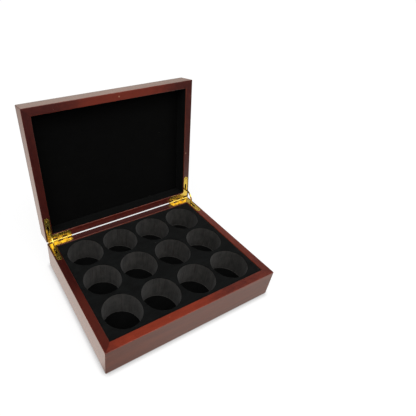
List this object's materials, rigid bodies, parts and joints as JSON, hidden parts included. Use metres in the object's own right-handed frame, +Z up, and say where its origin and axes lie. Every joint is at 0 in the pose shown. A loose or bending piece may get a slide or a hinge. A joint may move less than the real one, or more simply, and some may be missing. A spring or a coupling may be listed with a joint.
{
  "type": "golf ball display box",
  "caption": "Hinged wooden presentation box with a velvet-topped foam insert whose round wells each hold a golf ball; brass quadrant hinges with stays hold the lid open.",
  "frame": {"origin": "centre of the flat underside", "axes": "+Z up, +Y towards the hinges at the rear, +X to the right seen from the front"},
  "size_m": [0.22, 0.2193, 0.2046],
  "materials": {
    "stained_wood": "satin",
    "velvet": "matte",
    "foam": "matte",
    "felt": "matte",
    "polished_brass": "polished",
    "brass_screws": "polished",
    "magnet": "satin"
  },
  "bodies": {
    "base": {"base_front_wall": "stained_wood", "base_back_wall": "stained_wood", "base_left_wall": "stained_wood", "base_right_wall": "stained_wood", "base_bottom_panel": "stained_wood", "base_bottom_felt": "felt", "base_floor_lining": "velvet", "foam_insert": "foam", "insert_velvet_top": "velvet", "base_closure_magnets": "magnet", "base_magnet_plugs": "stained_wood", "base_left_hinge_leaf": "polished_brass", "base_right_hinge_leaf": "polished_brass", "base_left_hinge_screws": "brass_screws", "base_right_hinge_screws": "brass_screws", "left_hinge_pin": "polished_brass", "right_hinge_pin": "polished_brass"},
    "lid": {"lid_front_wall": "stained_wood", "lid_back_wall": "stained_wood", "lid_left_wall": "stained_wood", "lid_right_wall": "stained_wood", "lid_top_panel": "stained_wood", "lid_lining_panel": "velvet", "lid_front_lining": "velvet", "lid_back_lining": "velvet", "lid_left_lining": "velvet", "lid_right_lining": "velvet", "lid_closure_magnets": "magnet", "lid_magnet_plugs": "stained_wood", "lid_left_hinge_leaf": "polished_brass", "lid_right_hinge_leaf": "polished_brass", "lid_left_hinge_screws": "brass_screws", "lid_right_hinge_screws": "brass_screws"},
    "left_stay": {"left_stay": "polished_brass"},
    "right_stay": {"right_stay": "polished_brass"}
  },
  "joints": [
    {"name": "lid_hinge", "type": "hinge", "parent": "base", "child": "lid", "pos_m": [0, 0.08435, 0.03845], "axis": [1, 0, 0], "range_deg": [0, 99]},
    {"name": "left_stay_swing", "type": "hinge", "parent": "base", "child": "left_stay", "pos_m": [0, 0.08435, 0.03845], "axis": [1, 0, 0], "range_deg": [0, 49.5]},
    {"name": "right_stay_swing", "type": "hinge", "parent": "base", "child": "right_stay", "pos_m": [0, 0.08435, 0.03845], "axis": [1, 0, 0], "range_deg": [0, 49.5]}
  ],
  "couplings": [
    {"joint": "left_stay_swing", "follows": "lid_hinge", "ratio": 0.5},
    {"joint": "right_stay_swing", "follows": "lid_hinge", "ratio": 0.5}
  ]
}
